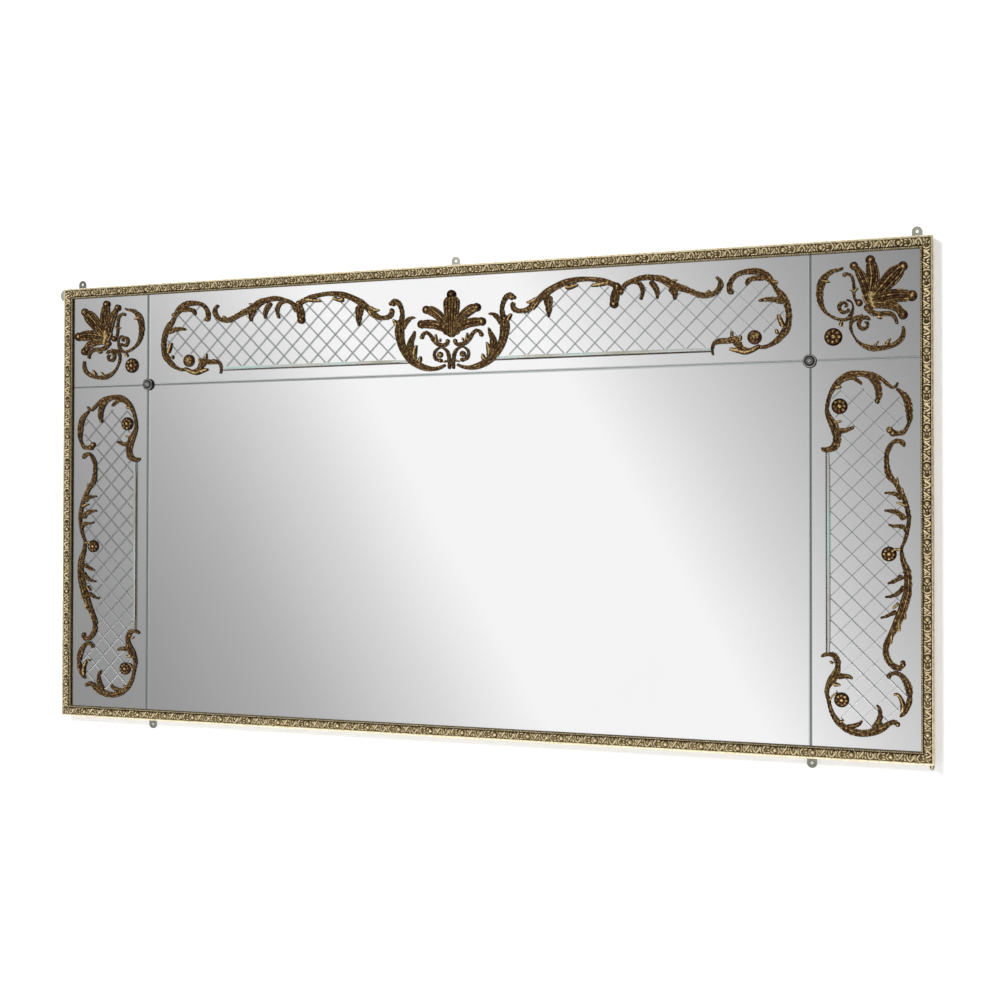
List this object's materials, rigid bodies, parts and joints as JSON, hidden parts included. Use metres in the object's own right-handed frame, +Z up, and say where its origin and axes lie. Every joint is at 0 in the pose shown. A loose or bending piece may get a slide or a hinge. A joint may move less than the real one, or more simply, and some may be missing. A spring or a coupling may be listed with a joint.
{
  "type": "wall mirror",
  "caption": "Wide landscape wall mirror of bevelled mirror panes with gilt scrollwork and cut trellis, in a narrow pressed brass frame.",
  "frame": {"origin": "middle of the back, on the plane of the wall", "axes": "+X to the right of someone facing the mirror, +Y into the wall, +Z up; the glass faces -Y"},
  "size_m": [2.0831, 0.0381, 1.098],
  "materials": {
    "pine": "planed softwood, unfinished",
    "beech": "turned hardwood dowel",
    "plywood": "sanded birch plywood",
    "mirror_glass": "silvered float glass, polished bevels, wheel-cut lines",
    "pressed_brass": "pressed brass with worn gilding and dark recesses",
    "dark_brass": "dark patinated brass",
    "steel": "zinc-plated steel",
    "felt": "wool felt",
    "rubber": "black rubber",
    "gilding": "gilded composition with brown shading"
  },
  "bodies": {
    "root": {"chassis_rail_top": "pine", "chassis_rail_bottom": "pine", "chassis_stile_left": "pine", "chassis_stile_right": "pine", "chassis_inner_stile_left": "pine", "chassis_inner_stile_right": "pine", "chassis_middle_rail": "pine", "chassis_side_rail_left": "pine", "chassis_side_rail_right": "pine", "chassis_muntin": "pine", "frame_core_top": "pine", "frame_core_bottom": "pine", "frame_core_left": "pine", "frame_core_right": "pine", "chassis_dowels": "beech", "backing_panel": "plywood", "pane_centre": "mirror_glass", "pane_top": "mirror_glass", "pane_side_left": "mirror_glass", "pane_side_right": "mirror_glass", "pane_corner_left": "mirror_glass", "pane_corner_right": "mirror_glass", "brass_moulding_top": "pressed_brass", "brass_moulding_bottom": "pressed_brass", "brass_moulding_left": "pressed_brass", "brass_moulding_right": "pressed_brass", "rosette_cap_left": "dark_brass", "rosette_cap_right": "dark_brass", "rosette_screw_left": "dark_brass", "rosette_screw_right": "dark_brass", "moulding_pins": "dark_brass", "plate_top_left": "steel", "plate_top_centre": "steel", "plate_top_right": "steel", "plate_bottom_left": "steel", "plate_bottom_right": "steel", "plate_side_left": "steel", "plate_screws": "steel", "core_screws": "steel", "panel_screws": "steel", "felt_pads": "felt", "rosette_washer_left": "felt", "rosette_washer_right": "felt", "setting_blocks": "rubber", "rosette_sleeve_left": "rubber", "rosette_sleeve_right": "rubber", "gilding_top": "gilding", "gilding_side_left": "gilding", "gilding_side_right": "gilding", "gilding_corner_left": "gilding", "gilding_corner_right": "gilding"}
  },
  "joints": []
}
